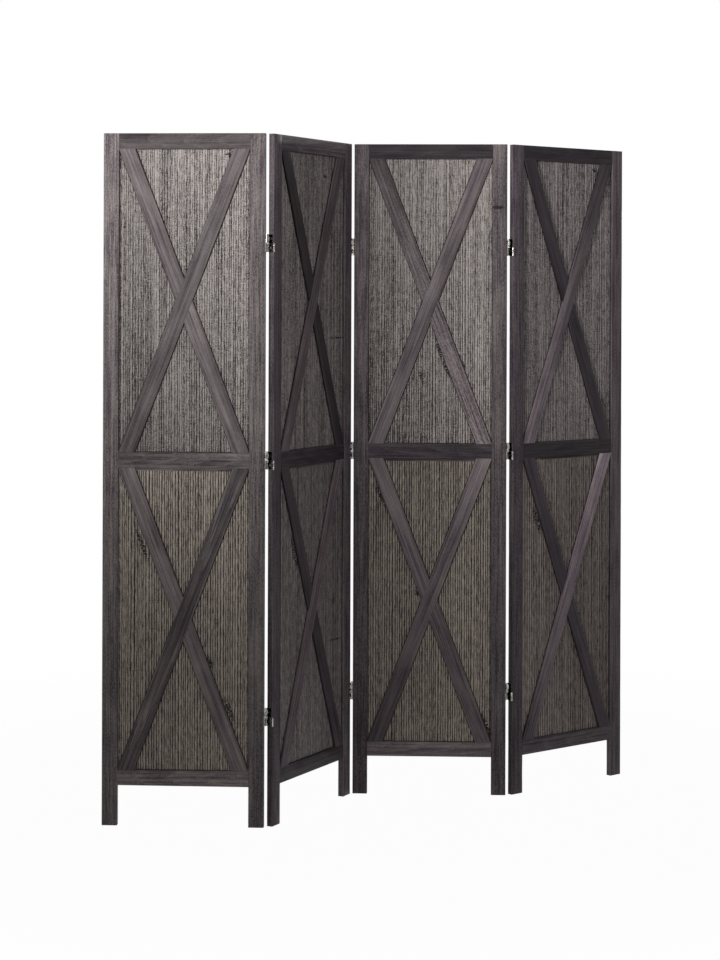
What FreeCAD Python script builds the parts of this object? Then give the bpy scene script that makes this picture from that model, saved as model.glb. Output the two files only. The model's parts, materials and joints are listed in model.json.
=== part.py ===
"""Four-panel folding screen of stained wood, in millimetres.

Each panel is a frame of two stiles and three rails that holds two thin boards in its
grooves, with a flat cross of braces on the front of each board.  Neighbouring panels are
joined by three double-action hinges, which turn about an axis behind or before the panels.
A panel is modelled flat, x across it, y from its front face to its back face and z up,
and its pieces are then put at the panel's place in the standing screen.
"""
import FreeCAD, Part
import os
import re
import Sketcher
from FreeCAD import Placement, Rotation, Vector

# Driving sizes: lengths in millimetres, angles in degrees
SIZES = {
    "panel_height": 1700,
    "panel_width": 400,
    "panel_thickness": 15,
    "stile_width": 38,
    "rail_height": 38,
    "leg_height": 99,
    "upper_opening_height": 745,
    "board_thickness": 5,
    "board_play": 0.1,
    "board_edge_gap": 0.6,
    "groove_depth": 8,
    "tenon_play": 0.1,
    "tenon_end_gap": 0.5,
    "brace_width": 38,
    "edge_round": 1,
    "brace_round": 0.8,
    "panel_gap": 6.4,
    "hinge_inset": 269,
    "leaf_thickness": 1.2,
    "leaf_margin": 2.5,
    "leaf_finger_height": 5.5,
    "link_thickness": 1.2,
    "link_finger_height": 10,
    "finger_gap": 0.25,
    "halves_gap": 1,
    "knuckle_clearance": 0.3,
    "axis_offset": 1.5,
    "pin_diameter": 3.2,
    "pin_play": 0.05,
    "screw_diameter": 2.6,
    "screw_length": 14,
    "screw_point_length": 3,
    "screw_play": 0.05,
    "recess_width": 0.7,
    "recess_depth": 0.7,
    "driver_hole_margin": 0.6,
    "first_panel_yaw": -3.2,
    "fold_1_2_angle": 65.9,
    "fold_2_3_angle": 64.9,
    "fold_3_4_angle": 41.4,
}

# What follows from the driving sizes, as formulas of their names
OPENING_WIDTH = "(panel_width - 2 * stile_width)"
RIGHT_STILE = "(panel_width - stile_width)"
RECESS = "((panel_thickness - board_thickness) / 2)"
GROOVE_WIDTH = "(board_thickness + 2 * board_play)"
GROOVE_FRONT = f"((panel_thickness - {GROOVE_WIDTH}) / 2)"
TENON_WIDTH = f"({GROOVE_WIDTH} - 2 * tenon_play)"
TENON_LENGTH = "(groove_depth - tenon_end_gap)"
BOARD_TONGUE = "(groove_depth - board_edge_gap)"
TOP_RAIL = "(panel_height - rail_height)"
UPPER_OPENING = f"({TOP_RAIL} - upper_opening_height)"
MIDDLE_RAIL = f"({UPPER_OPENING} - rail_height)"
LOWER_OPENING = "(leg_height + rail_height)"
LOWER_OPENING_HEIGHT = f"({MIDDLE_RAIL} - {LOWER_OPENING})"
HALF_GAP = "(panel_gap / 2)"
MID_DEPTH = "(panel_thickness / 2)"
FRONT_AXIS = "(-axis_offset)"
BACK_AXIS = "(panel_thickness + axis_offset)"
KNUCKLE_RADIUS = f"({HALF_GAP} - knuckle_clearance)"
BORE_RADIUS = "(pin_diameter / 2 + pin_play)"
HALF_HEIGHT = "(2 * leaf_finger_height + 2 * finger_gap + link_finger_height)"
HALF_START = "(halves_gap / 2)"
HALF_MIDDLE = f"({HALF_START} + {HALF_HEIGHT} / 2)"
LEAF_FACE = f"(leaf_thickness - {HALF_GAP})"
SCREW_RADIUS = "(screw_diameter / 2)"
HEAD_RADIUS = f"({SCREW_RADIUS} + leaf_thickness)"
HINGE_HEIGHTS = {
    "top": "(panel_height - hinge_inset)",
    "middle": f"({MIDDLE_RAIL} + rail_height / 2)",
    "bottom": "(hinge_inset)",
}

PANELS = (1, 2, 3, 4)
# Each fold turns about the back axis (ridge to the front) or about the front axis
FOLDS = {1: ("fold_1_2_angle", "back"), 2: ("fold_2_3_angle", "front"), 3: ("fold_3_4_angle", "back")}
Z_AXIS = Vector(0, 0, 1)
ALONG_X = Rotation(Vector(0, 1, 0), 90)
NEAR = 1e-4

doc = FreeCAD.newDocument("folding_screen")
sheet = doc.addObject("Spreadsheet::Sheet", "Sizes")
for row, (alias, size) in enumerate(SIZES.items(), start=1):
    sheet.set(f"A{row}", alias)
    sheet.set(f"B{row}", str(size))
    sheet.setAlias(f"B{row}", alias)
doc.recompute()


def bind(item, prop, formula):
    """Ties a property to a formula of the sheet's names."""
    linked = re.sub(r"[a-z][a-z_0-9]+", lambda name: "Sizes." + name.group(), formula)
    item.setExpression(prop, linked)


def number(formula):
    """The present value of a formula of the sheet's names."""
    return float(sheet.evalExpression(formula))


def box(name, corner, sides):
    """A block given by its low corner and its sides along x, y and z."""
    block = doc.addObject("Part::Box", name)
    for prop, formula in zip(("Length", "Width", "Height"), sides):
        bind(block, prop, formula)
    for axis, formula in zip("xyz", corner):
        bind(block, f"Placement.Base.{axis}", formula)
    return block


def cylinder(name, foot, radius, height, turn=Rotation()):
    """A round bar that starts at foot and runs up, or along the turned z axis."""
    bar = doc.addObject("Part::Cylinder", name)
    bar.Placement.Rotation = turn
    bind(bar, "Radius", radius)
    bind(bar, "Height", height)
    for axis, formula in zip("xyz", foot):
        bind(bar, f"Placement.Base.{axis}", formula)
    return bar


def compound(name, pieces):
    """Several pieces held together as one object."""
    group = doc.addObject("Part::Compound", name)
    group.Links = pieces
    return group


def cut(name, base, tools):
    """The base with every tool taken out of it."""
    result = doc.addObject("Part::Cut", name)
    result.Base = base
    result.Tool = tools[0] if len(tools) == 1 else compound(f"{name}_tools", tools)
    return result


def fuse(name, pieces):
    """Several pieces grown into one solid."""
    result = doc.addObject("Part::MultiFuse", name)
    result.Shapes = pieces
    result.Refine = True
    return result


def runs_along(edge, direction):
    """Whether a straight edge runs along a direction."""
    first, last = edge.Vertexes[0].Point, edge.Vertexes[-1].Point
    return (last - first).normalize().cross(direction).Length < NEAR


def rounded(name, base, wanted):
    """The base with the wanted edges softened."""
    doc.recompute()
    radius = number("edge_round")
    softened = doc.addObject("Part::Fillet", name)
    softened.Base = base
    edges = enumerate(base.Shape.Edges, 1)
    softened.Edges = [(place, radius, radius) for place, edge in edges if wanted(edge)]
    return softened


def stile(side):
    """An upright of the frame, grooved along its inner edge and softened elsewhere."""
    left = "0" if side == "left" else RIGHT_STILE
    outer = number("0" if side == "left" else "panel_width")
    groove_left = "(stile_width - groove_depth)" if side == "left" else RIGHT_STILE
    blank = box(
        f"{side}_stile_blank", (left, "0", "0"), ("stile_width", "panel_thickness", "panel_height")
    )
    groove = box(
        f"{side}_stile_groove",
        (groove_left, GROOVE_FRONT, "leg_height + groove_depth"),
        ("groove_depth", GROOVE_WIDTH, "panel_height - leg_height - 2 * groove_depth"),
    )
    ends = (0, number("panel_height"))

    def wanted(edge):
        middle = edge.CenterOfMass
        return abs(middle.x - outer) < NEAR or min(abs(middle.z - end) for end in ends) < NEAR

    return cut(f"{side}_stile", rounded(f"{side}_stile_softened", blank, wanted), [groove])


def drilled_stile(side, plain):
    """The same upright with a pilot hole for each screw of its hinge leaves."""
    outer = "panel_width" if side == "right" else "0"
    turn = Rotation(Vector(0, 1, 0), -90 if side == "right" else 90)
    holes = []
    for place, height in HINGE_HEIGHTS.items():
        for half, sign in (("upper", "+"), ("lower", "-")):
            foot = (outer, MID_DEPTH, f"{height} {sign} {HALF_MIDDLE}")
            name = f"{side}_pilot_{place}_{half}"
            holes.append(cylinder(name, foot, f"{SCREW_RADIUS} + screw_play", "screw_length", turn))
    return cut(f"{side}_stile_drilled", plain, holes)


def rail(name, bottom, groove_starts):
    """A crosspiece between the stiles: stub tenons at its ends, a groove for each board it holds."""
    blank = box(
        f"{name}_blank", ("stile_width", "0", bottom), (OPENING_WIDTH, "panel_thickness", "rail_height")
    )
    body = rounded(f"{name}_softened", blank, lambda edge: runs_along(edge, Vector(1, 0, 0)))
    tenons = box(
        f"{name}_tenons",
        (f"stile_width - {TENON_LENGTH}", f"{GROOVE_FRONT} + tenon_play", f"{bottom} + groove_depth"),
        (f"{OPENING_WIDTH} + 2 * {TENON_LENGTH}", TENON_WIDTH, "rail_height - 2 * groove_depth"),
    )
    grooves = [
        box(
            f"{name}_groove_{count}",
            ("stile_width", GROOVE_FRONT, start),
            (OPENING_WIDTH, GROOVE_WIDTH, "groove_depth"),
        )
        for count, start in enumerate(groove_starts, 1)
    ]
    return cut(name, fuse(f"{name}_with_tenons", [body, tenons]), grooves)


def board(name, bottom, height):
    """A thin board, its edges in the grooves of the stiles and rails."""
    return box(
        name,
        (f"stile_width - {BOARD_TONGUE}", RECESS, f"{bottom} - {BOARD_TONGUE}"),
        (f"{OPENING_WIDTH} + 2 * {BOARD_TONGUE}", "board_thickness", f"{height} + 2 * {BOARD_TONGUE}"),
    )


def origin_plane(body, role):
    """One of the body's own base planes."""
    return next(feature for feature in body.Origin.OriginFeatures if feature.Role == role)


def attached_sketch(body, name, role):
    """An empty sketch on one of the body's base planes."""
    sketch = body.newObject("Sketcher::SketchObject", name)
    sketch.AttachmentSupport = (origin_plane(body, role), [""])
    sketch.MapMode = "FlatFace"
    return sketch


def outline(sketch, corners):
    """Closed straight outline through the corners, first guess of a constrained sketch."""
    for first, last in zip(corners, corners[1:] + corners[:1]):
        sketch.addGeometry(Part.LineSegment(first, last), False)
    for line in range(len(corners)):
        sketch.addConstraint(Sketcher.Constraint("Coincident", line, 2, (line + 1) % len(corners), 1))


def dimension(sketch, label, formula, kind, *places):
    """A named dimension of a sketch, tied to a formula of the sheet's names."""
    index = sketch.addConstraint(Sketcher.Constraint(kind, *places, number(formula)))
    sketch.renameConstraint(index, label)
    bind(sketch, f"Constraints.{label}", formula)


def brace(name, bottom, height, rises, softened):
    """A flat brace from corner to corner of an opening, as thick as the boards lie deep."""
    body = doc.addObject("PartDesign::Body", name)
    sketch = attached_sketch(body, f"{name}_outline", "XZ_Plane")
    start, end = ("stile_width", RIGHT_STILE) if rises else (RIGHT_STILE, "stile_width")
    top = f"({bottom} + {height})"
    step = number("brace_width") if rises else -number("brace_width")
    corners = [
        Vector(number(start), number(bottom)),
        Vector(number(start) + step, number(bottom)),
        Vector(number(end), number(top)),
        Vector(number(end) - step, number(top)),
    ]
    outline(sketch, corners)
    sketch.addConstraint(Sketcher.Constraint("Horizontal", 0))
    sketch.addConstraint(Sketcher.Constraint("Horizontal", 2))
    sketch.addConstraint(Sketcher.Constraint("Parallel", 1, 3))
    dimension(sketch, "foot_x", start, "DistanceX", -1, 1, 0, 1)
    dimension(sketch, "foot_z", bottom, "DistanceY", -1, 1, 0, 1)
    dimension(sketch, "head_x", end, "DistanceX", -1, 1, 2, 1)
    dimension(sketch, "head_z", top, "DistanceY", -1, 1, 2, 1)
    dimension(sketch, "brace_wide", "brace_width", "Distance", 0, 1, 1)
    pad = body.newObject("PartDesign::Pad", f"{name}_pad")
    pad.Profile = sketch
    pad.Reversed = True
    bind(pad, "Length", RECESS)
    doc.recompute()
    if softened:
        fillet = body.newObject("PartDesign::Fillet", f"{name}_softened")
        long_edges = [
            f"Edge{place}"
            for place, edge in enumerate(pad.Shape.Edges, 1)
            if abs(edge.BoundBox.YMax) < NEAR and edge.BoundBox.ZLength > number(height) / 2
        ]
        fillet.Base = (pad, long_edges)
        bind(fillet, "Radius", "brace_round")
    return body


def half_start(half):
    """The lowest height of a hinge half above the hinge's middle."""
    return HALF_START if half == "upper" else f"(-{HALF_START} - {HALF_HEIGHT})"


def finger_starts(half):
    """The lowest heights of the two fingers of a leaf in a hinge half."""
    start = half_start(half)
    return {"low": start, "high": f"({start} + {HALF_HEIGHT} - leaf_finger_height)"}


def hinge_leaf():
    """The left leaf of a hinge: front knuckle in its upper half, back knuckle in its lower half."""
    wide = "panel_thickness - 2 * leaf_margin"
    height = f"2 * {HALF_HEIGHT} + halves_gap"
    corner = (f"-{HALF_GAP}", "leaf_margin", f"-({height}) / 2")
    metal = [box("leaf_plate", corner, ("leaf_thickness", wide, height))]
    holes = []
    strip_sides = ("leaf_thickness", "leaf_margin + axis_offset", "leaf_finger_height")
    for half, axis, strip in (
        ("upper", FRONT_AXIS, FRONT_AXIS),
        ("lower", BACK_AXIS, "panel_thickness - leaf_margin"),
    ):
        for level, start in finger_starts(half).items():
            corner = (f"-{HALF_GAP}", strip, start)
            metal.append(box(f"leaf_strip_{half}_{level}", corner, strip_sides))
            centre = ("0", axis, start)
            name = f"leaf_knuckle_{half}_{level}"
            metal.append(cylinder(name, centre, KNUCKLE_RADIUS, "leaf_finger_height"))
        foot = ("0", axis, half_start(half))
        holes.append(cylinder(f"leaf_bore_{half}", foot, BORE_RADIUS, HALF_HEIGHT))
    for half, sign in (("upper", "+"), ("lower", "-")):
        sink = doc.addObject("Part::Cone", f"leaf_countersink_{half}")
        sink.Placement.Rotation = ALONG_X
        bind(sink, "Radius1", f"{SCREW_RADIUS} + screw_play")
        bind(sink, "Radius2", f"{HEAD_RADIUS} + screw_play")
        bind(sink, "Height", "leaf_thickness")
        bind(sink, "Placement.Base.x", f"-{HALF_GAP}")
        bind(sink, "Placement.Base.y", MID_DEPTH)
        bind(sink, "Placement.Base.z", f"0 {sign} {HALF_MIDDLE}")
        holes.append(sink)
    return cut("hinge_leaf", fuse("hinge_leaf_metal", metal), holes)


def hinge_link():
    """The link of a hinge's upper half, from the front pin to the back pin, with a driver hole."""
    finger = f"({HALF_START} + leaf_finger_height + finger_gap)"
    left = "-link_thickness / 2"
    metal = [
        box(
            "link_plate",
            (left, "leaf_margin", HALF_START),
            ("link_thickness", "panel_thickness - 2 * leaf_margin", HALF_HEIGHT),
        ),
        box(
            "link_strip",
            (left, FRONT_AXIS, finger),
            ("link_thickness", "panel_thickness + 2 * axis_offset", "link_finger_height"),
        ),
    ]
    holes = []
    for side, axis in (("front", FRONT_AXIS), ("back", BACK_AXIS)):
        centre = ("0", axis, finger)
        metal.append(cylinder(f"link_knuckle_{side}", centre, KNUCKLE_RADIUS, "link_finger_height"))
        holes.append(cylinder(f"link_bore_{side}", centre, BORE_RADIUS, "link_finger_height"))
    driver = f"{HEAD_RADIUS} + driver_hole_margin"
    foot = (left, MID_DEPTH, HALF_MIDDLE)
    holes.append(cylinder("link_driver_hole", foot, driver, "link_thickness", ALONG_X))
    return cut("hinge_link", fuse("hinge_link_metal", metal), holes)


def hinge_screw():
    """A countersunk screw, its head's face at z = 0 and its point down, with a cross recess."""
    body = doc.addObject("PartDesign::Body", "hinge_screw_turned")
    sketch = attached_sketch(body, "hinge_screw_profile", "XZ_Plane")
    head, shank = number(HEAD_RADIUS), number(SCREW_RADIUS)
    neck, tip = -number("leaf_thickness"), -number("screw_length")
    shoulder = tip + number("screw_point_length")
    corners = [
        Vector(0, 0),
        Vector(head, 0),
        Vector(shank, neck),
        Vector(shank, shoulder),
        Vector(0, tip),
    ]
    outline(sketch, corners)
    sketch.addConstraint(Sketcher.Constraint("Coincident", 0, 1, -1, 1))
    sketch.addConstraint(Sketcher.Constraint("Horizontal", 0))
    sketch.addConstraint(Sketcher.Constraint("Vertical", 2))
    sketch.addConstraint(Sketcher.Constraint("Vertical", 4))
    dimension(sketch, "head_radius", HEAD_RADIUS, "DistanceX", 0, 1, 0, 2)
    dimension(sketch, "shank_radius", SCREW_RADIUS, "DistanceX", 0, 1, 1, 2)
    dimension(sketch, "head_depth", "leaf_thickness", "DistanceY", 1, 2, 1, 1)
    dimension(sketch, "point_length", "screw_point_length", "DistanceY", 3, 2, 3, 1)
    dimension(sketch, "whole_length", "screw_length", "DistanceY", 4, 1, 4, 2)
    turned = body.newObject("PartDesign::Revolution", "hinge_screw_revolution")
    turned.Profile = sketch
    turned.ReferenceAxis = (sketch, ["V_Axis"])
    turned.Angle = 360
    recess = [
        box(
            "recess_across",
            (f"-{HEAD_RADIUS} / 2", "-recess_width / 2", "-recess_depth"),
            (HEAD_RADIUS, "recess_width", "recess_depth"),
        ),
        box(
            "recess_along",
            ("-recess_width / 2", f"-{HEAD_RADIUS} / 2", "-recess_depth"),
            ("recess_width", HEAD_RADIUS, "recess_depth"),
        ),
    ]
    return cut("hinge_screw", body, [fuse("hinge_screw_recess", recess)])


def hinge_pin():
    """The pin of one hinge half, standing on z = 0."""
    return cylinder("hinge_pin", ("0", "0", "0"), "pin_diameter / 2", HALF_HEIGHT)


# The pieces of one flat panel and of one hinge
left_stile = stile("left")
right_stile = stile("right")
pieces = {
    "top_rail": rail("top_rail", TOP_RAIL, [TOP_RAIL]),
    "middle_rail": rail("middle_rail", MIDDLE_RAIL, [MIDDLE_RAIL, f"{UPPER_OPENING} - groove_depth"]),
    "bottom_rail": rail("bottom_rail", "leg_height", [f"{LOWER_OPENING} - groove_depth"]),
}
for field, bottom, height in (
    ("upper", UPPER_OPENING, "upper_opening_height"),
    ("lower", LOWER_OPENING, LOWER_OPENING_HEIGHT),
):
    pieces[f"{field}_board"] = board(f"{field}_board", bottom, height)
    pieces[f"{field}_long_brace"] = brace(f"{field}_long_brace", bottom, height, True, True)
    crossing = brace(f"{field}_crossing", bottom, height, True, False)
    whole = brace(f"{field}_short_braces_whole", bottom, height, False, True)
    pieces[f"{field}_short_braces"] = cut(f"{field}_short_braces", whole, [crossing])
left_stile_drilled = drilled_stile("left", left_stile)
right_stile_drilled = drilled_stile("right", right_stile)
leaf = hinge_leaf()
link = hinge_link()
screw = hinge_screw()
pin = hinge_pin()
doc.recompute()


def fold_axis(fold, panel):
    """The place of a fold's turning axis in the flat frame of the panel on its left or right."""
    depth = number(BACK_AXIS if FOLDS[fold][1] == "back" else FRONT_AXIS)
    across = number(f"panel_width + {HALF_GAP}") if panel == fold else -number(HALF_GAP)
    return Vector(across, depth, 0)


def standing_places():
    """The place of every panel in the standing screen, the first one at the origin."""
    places = {1: Placement(Vector(), Rotation(Z_AXIS, number("first_panel_yaw")))}
    for fold, (angle, side) in FOLDS.items():
        turn = number(angle) if side == "back" else -number(angle)
        to_axis = Placement(fold_axis(fold, fold), Rotation(Z_AXIS, turn))
        from_axis = Placement(-fold_axis(fold, fold + 1), Rotation())
        places[fold + 1] = places[fold] * to_axis * from_axis
    return places


def hinge_places(side):
    """The places of a panel's three hinges on its left or right edge, as seen by its own leaf."""
    across = number(f"panel_width + {HALF_GAP}") if side == "right" else -number(HALF_GAP)
    turned = Placement()
    if side == "left":
        turned = Placement(Vector(), Rotation(Z_AXIS, 180), Vector(0, number(MID_DEPTH), 0))
    levels = [number(height) for height in HINGE_HEIGHTS.values()]
    return [Placement(Vector(across, 0, level), Rotation()) * turned for level in levels]


def link_rides_with(panel, side):
    """Which half of the hinge has the link that stays with this panel when the fold turns."""
    turns_at_back = FOLDS[panel if side == "right" else panel - 1][1] == "back"
    return "upper" if (side == "right") == turns_at_back else "lower"


def hinge_pieces(panel):
    """The hinge pieces that belong to a panel, each kind as a list of placed solids."""
    groups = {"hinge_leaves": [], "hinge_links": [], "hinge_pins": [], "hinge_screws": []}
    has_neighbour = {"left": panel > PANELS[0], "right": panel < PANELS[-1]}
    sides = [side for side, joined in has_neighbour.items() if joined]
    for side in sides:
        for hinge in hinge_places(side):
            groups["hinge_leaves"].append(leaf.Shape.transformed(hinge.Matrix))
            drop = 0 if link_rides_with(panel, side) == "upper" else -number(f"{HALF_HEIGHT} + halves_gap")
            fall = Placement(Vector(0, 0, drop), Rotation())
            groups["hinge_links"].append(link.Shape.transformed((hinge * fall).Matrix))
            for half, axis in (("upper", FRONT_AXIS), ("lower", BACK_AXIS)):
                stand = Placement(Vector(0, number(axis), number(half_start(half))), Rotation())
                groups["hinge_pins"].append(pin.Shape.transformed((hinge * stand).Matrix))
            for level in (number(HALF_MIDDLE), -number(HALF_MIDDLE)):
                seat = Placement(Vector(number(LEAF_FACE), number(MID_DEPTH), level), ALONG_X)
                groups["hinge_screws"].append(screw.Shape.transformed((hinge * seat).Matrix))
    return groups


# The nodes: every piece of every panel at the panel's place
places = standing_places()
nodes = {}
for panel in PANELS:
    stiles = {
        "left_stile": left_stile if panel == PANELS[0] else left_stile_drilled,
        "right_stile": right_stile if panel == PANELS[-1] else right_stile_drilled,
    }
    for name, master in {**stiles, **pieces}.items():
        node = compound(f"panel_{panel}_{name}", [master])
        node.Placement = places[panel]
        nodes[node.Label] = node
    for name, solids in hinge_pieces(panel).items():
        node = doc.addObject("Part::Feature", f"panel_{panel}_{name}")
        node.Shape = Part.makeCompound(solids)
        node.Placement = places[panel]
        nodes[node.Label] = node
doc.recompute()

# The origin goes to the middle of the floor area that the screen covers
whole_box = FreeCAD.BoundBox()
for node in nodes.values():
    whole_box.add(node.Shape.optimalBoundingBox(False))
shift = Placement(Vector(-whole_box.Center.x, -whole_box.Center.y, -whole_box.ZMin), Rotation())
for node in nodes.values():
    node.Placement = shift * node.Placement
doc.recompute()

for item in doc.Objects:
    if {"Invalid", "Error"} & set(item.State):
        raise RuntimeError(f"{item.Label} failed: {item.State}")
for label, node in nodes.items():
    if node.Shape.isNull() or not node.Shape.isValid() or not node.Shape.Solids:
        raise RuntimeError(f"{label} has no valid solid")

os.makedirs("parts", exist_ok=True)
for label, node in nodes.items():
    node.Shape.exportStep(f"parts/{label}.step")

print(len(nodes), "nodes,", sum(len(node.Shape.Solids) for node in nodes.values()), "solids")
print("box", round(whole_box.XLength, 3), round(whole_box.YLength, 3), round(whole_box.ZLength, 3))
for panel in PANELS:
    place = shift * places[panel]
    yaw = place.Rotation.getYawPitchRoll()[0]
    print("panel", panel, [round(value, 4) for value in place.Base], round(yaw, 3))
for fold in FOLDS:
    axis = (shift * places[fold]).multVec(fold_axis(fold, fold))
    print("fold", fold, fold + 1, [round(value, 4) for value in axis])
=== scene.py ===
"""Dresses the folding screen: four stained wood panels with crossed braces on blackened steel hinges."""

import json
import logging
import math
from dataclasses import dataclass
from enum import Enum
from random import Random

import bmesh
import bpy
from mathutils import Matrix, Vector, noise


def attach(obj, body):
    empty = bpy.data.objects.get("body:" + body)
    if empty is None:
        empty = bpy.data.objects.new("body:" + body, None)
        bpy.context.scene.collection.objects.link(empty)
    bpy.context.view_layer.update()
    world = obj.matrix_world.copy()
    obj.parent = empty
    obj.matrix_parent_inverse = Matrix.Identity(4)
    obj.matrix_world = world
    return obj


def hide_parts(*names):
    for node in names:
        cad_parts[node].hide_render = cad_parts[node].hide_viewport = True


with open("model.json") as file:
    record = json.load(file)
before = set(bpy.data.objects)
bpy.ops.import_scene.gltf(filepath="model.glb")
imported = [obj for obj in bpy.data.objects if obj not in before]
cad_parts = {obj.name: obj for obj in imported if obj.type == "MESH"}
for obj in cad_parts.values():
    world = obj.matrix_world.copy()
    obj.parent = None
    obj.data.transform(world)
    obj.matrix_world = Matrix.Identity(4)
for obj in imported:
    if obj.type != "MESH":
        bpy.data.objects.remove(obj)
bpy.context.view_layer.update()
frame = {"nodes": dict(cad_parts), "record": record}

log = logging.getLogger("folding_screen")

Pair = tuple[float, float]
Triple = tuple[float, float, float]
Tree = bpy.types.NodeTree
Socket = bpy.types.NodeSocket
Material = bpy.types.Material
Mesh = bmesh.types.BMesh

MM = 0.001
MIX_FACTOR, MIX_FIRST, MIX_SECOND = 0, 6, 7
SMOOTH = {"interpolation_type": "SMOOTHSTEP"}
COLOURS = {"data_type": "RGBA"}
NOISE_SPAN = {"From Min": 0.3, "From Max": 0.7}
NOISE_TURN = (0.6, 0.5, 0.4)
WOOD_SHEEN = {"IOR": 1.5, "Specular IOR Level": 0.15}
EDGE_LAYERS = ("past_long_brace", "past_short_brace", "inside_stiles", "inside_rails")
MARK_LAYERS = ("mark_1", "mark_2", "mark_3")
KNOT_LAYER = "knot"
STILE_SEED, RAIL_SEED, BOARD_SEED, LONG_SEED, SHORT_SEED = range(0, 50, 10)
PANEL_SEED = 100
FAR_OFF = 5.0
# Steps that keep the noises of boards, faces and ribs apart.
SEED_STRIDE, FACE_STRIDE, WORN_STRIDE, CREST_STRIDE = 1.37, 11.0, 3.71, 5.13
DRIFT_LAYER, WORN_LAYER, CREST_LAYER = 5.0, 9.0, 17.0
NO_BRACE = -1.0
SHARP_ANGLE = math.radians(40)
CUT_TOUCH = 1e-6
FACES_SIDE = 0.99


class Field(Enum):
    """The two openings of a panel, by their place."""

    UPPER = "upper"
    LOWER = "lower"


class Side(Enum):
    """The two uprights of a panel; the value points to the panel's middle."""

    LEFT = 1.0
    RIGHT = -1.0


class Sawn(Enum):
    """How a stick was cut from the log: its rings' width, how pale they show, and the log's lean."""

    QUARTER = (5 * MM, -0.14, 0.0)
    FLAT = (9 * MM, 0.36, 0.09)
    ARCHED = (9 * MM, 0.9, 0.022)


class Stain(Enum):
    """How much stain a piece took up; the value scales its colour."""

    BARE = 2.1
    WASHED = 1.65
    PALE = 1.3
    EVEN = 1.0
    SMOKED = 0.75
    DARK = 0.5
    SOOTY = 0.38
    BLACK = 0.27


def linear(colour: str) -> tuple[float, float, float, float]:
    """Turns an sRGB hex colour into linear light.

    Args:
        colour: The colour as "#rrggbb".

    Returns:
        Red, green, blue and an alpha of one.
    """
    parts = [int(colour[place:place + 2], 16) / 255 for place in (1, 3, 5)]
    light = [part / 12.92 if part <= 0.04045 else ((part + 0.055) / 1.055) ** 2.4 for part in parts]
    return (*light, 1.0)


def far_place(draw: Random) -> Vector:
    """Draws a place far off, so that no two pieces share their grain."""
    return Vector([draw.uniform(-FAR_OFF, FAR_OFF) for _ in range(3)])


def swing(across: float, along: float, layer: float) -> float:
    """A slow noise about zero over a face, different for each layer."""
    return noise.noise(Vector((across, along, layer)))


def add_node(
    tree: Tree,
    kind: str,
    settings: dict[str, object] | None = None,
    inputs: dict[str | int, object] | None = None,
    output: str = "",
) -> Socket | None:
    """Adds one node to a tree with its settings and links.

    Args:
        tree: The tree that gets the node.
        kind: The node's type name, without the word that all of them start with.
        settings: Values for the node's own properties.
        inputs: A value or another node's output for each named input.
        output: The output that is wanted; the first one in use if it is left out.

    Returns:
        The wanted output, or nothing for a node that has none.
    """
    node = tree.nodes.new(f"ShaderNode{kind}")
    for name, value in (settings or {}).items():
        setattr(node, name, value)
    for name, value in (inputs or {}).items():
        if isinstance(value, Socket):
            tree.links.new(value, node.inputs[name])
        else:
            node.inputs[name].default_value = value
    if output:
        return node.outputs[output]
    return next((socket for socket in node.outputs if socket.enabled), None)


def new_material(name: str) -> tuple[Material, Tree]:
    """Starts a material with an empty tree.

    Args:
        name: The material's name.

    Returns:
        The material and its tree.
    """
    material = bpy.data.materials.new(name)
    material.use_nodes = True
    material.node_tree.nodes.clear()
    return material, material.node_tree


def finish_material(
    tree: Tree, look: dict[str, object], height: Socket, strength: float, depth: float,
) -> None:
    """Joins the looks of a surface and its fine relief to the material's output.

    Args:
        tree: The material's tree.
        look: The values for the surface.
        height: The relief.
        strength: How strongly the relief shows.
        depth: How deep the relief is.
    """
    bump = add_node(tree, "Bump", {}, {"Strength": strength, "Distance": depth, "Height": height})
    surface = add_node(tree, "BsdfPrincipled", {}, {**look, "Normal": bump})
    add_node(tree, "OutputMaterial", {}, {"Surface": surface})


def noise_fields(
    tree: Tree, place: Socket, sizes: dict[str, Triple], roughness: float, turn: Triple = (0.0, 0.0, 0.0),
) -> dict[str, Socket]:
    """Lays noises over a piece, each stretched along the grain.

    Args:
        tree: The material's tree.
        place: The place in the grain.
        sizes: Each noise's width, length and fineness.
        roughness: How strong the fine parts of the noises are.
        turn: A turn that keeps a flat face off the noise's own grid planes, where it fades.

    Returns:
        The noises by name, from zero to one.
    """
    fields = {}
    for name, (wide, long, detail) in sizes.items():
        scale = (1 / wide, 1 / wide, 1 / long)
        stretched = add_node(tree, "Mapping", {}, {"Vector": place, "Rotation": turn, "Scale": scale})
        fields[name] = add_node(
            tree, "TexNoise", {},
            {"Vector": stretched, "Scale": 1.0, "Detail": detail, "Roughness": roughness},
        )
    return fields


def layered(
    tree: Tree, amount: Socket, fields: dict[str, Socket], weights: dict[str, float | Socket],
) -> Socket:
    """Adds noises to an amount and keeps it between zero and one.

    Args:
        tree: The material's tree.
        amount: The amount to start from.
        fields: The noises by name.
        weights: How much of each noise is added.

    Returns:
        The new amount.
    """
    for name, weight in weights.items():
        centred = add_node(tree, "Math", {"operation": "SUBTRACT"}, {0: fields[name], 1: 0.5})
        amount = add_node(
            tree, "Math", {"operation": "MULTIPLY_ADD"}, {0: centred, 1: weight, 2: amount},
        )
    return add_node(tree, "Clamp", {}, {"Value": amount})


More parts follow.
